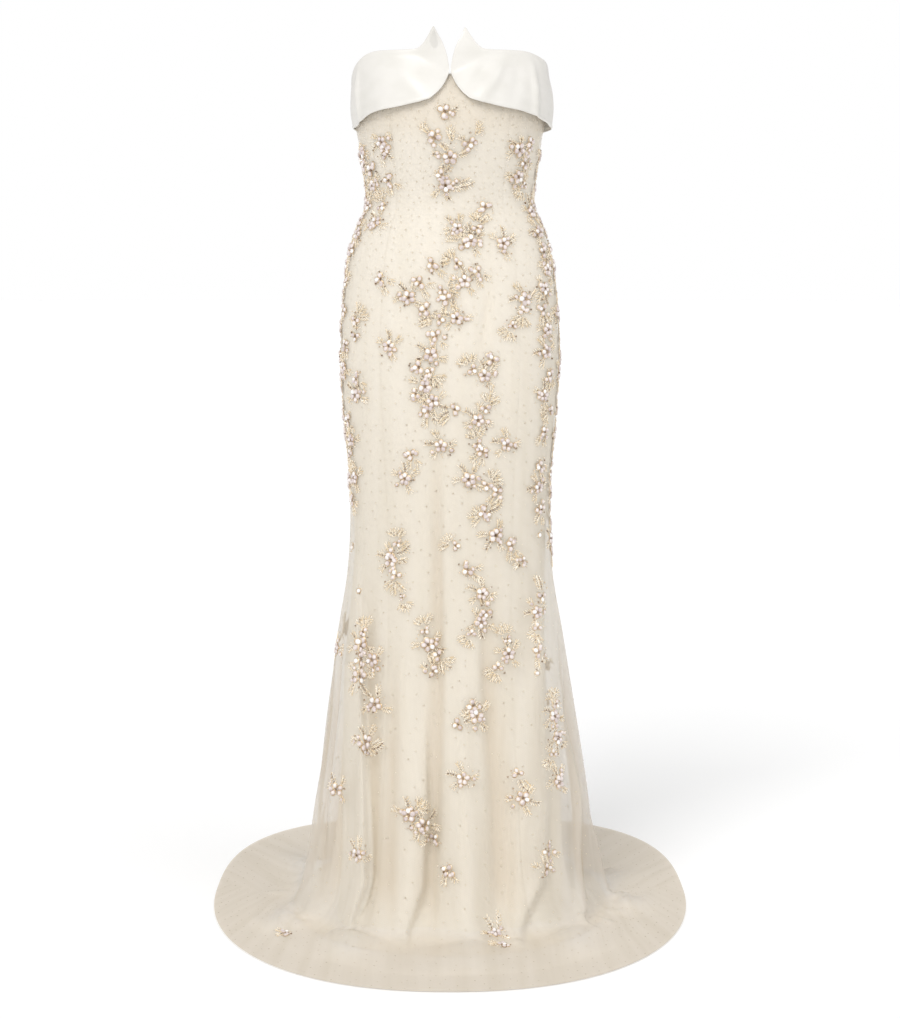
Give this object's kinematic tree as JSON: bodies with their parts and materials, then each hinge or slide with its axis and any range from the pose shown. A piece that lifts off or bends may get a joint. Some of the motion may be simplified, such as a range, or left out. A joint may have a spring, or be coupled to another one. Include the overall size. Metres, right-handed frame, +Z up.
{
  "type": "strapless bustier gown",
  "caption": "Floor-length strapless gown: close-fitting lining under a sheer beaded tulle layer with a train, and a fold-over satin collar with two points at the front.",
  "frame": {"origin": "middle of the gown at bust height, where the wearer's body holds it up; the floor that the train lies on is 1.280 m below", "axes": "+Z up along the body, the wearer faces -Y, and +X is the right of the front view"},
  "size_m": [0.778, 1.008, 1.3968],
  "materials": {
    "lining_crepe": "smooth champagne crepe, slightly lustrous",
    "beaded_tulle": "fine cream net with tiny dots and raised pearl and crystal sprays",
    "collar_satin": "heavy ivory satin with a soft sheen",
    "zip_tape": "woven zip tape in the lining's colour"
  },
  "bodies": {
    "root": {"lining_front": "lining_crepe", "lining_side_left": "lining_crepe", "lining_side_right": "lining_crepe", "lining_back_left": "lining_crepe", "lining_back_right": "lining_crepe", "tulle_front": "beaded_tulle", "tulle_back_left": "beaded_tulle", "tulle_back_right": "beaded_tulle", "collar_left": "collar_satin", "collar_right": "collar_satin", "back_zip_tape": "zip_tape"}
  },
  "joints": []
}
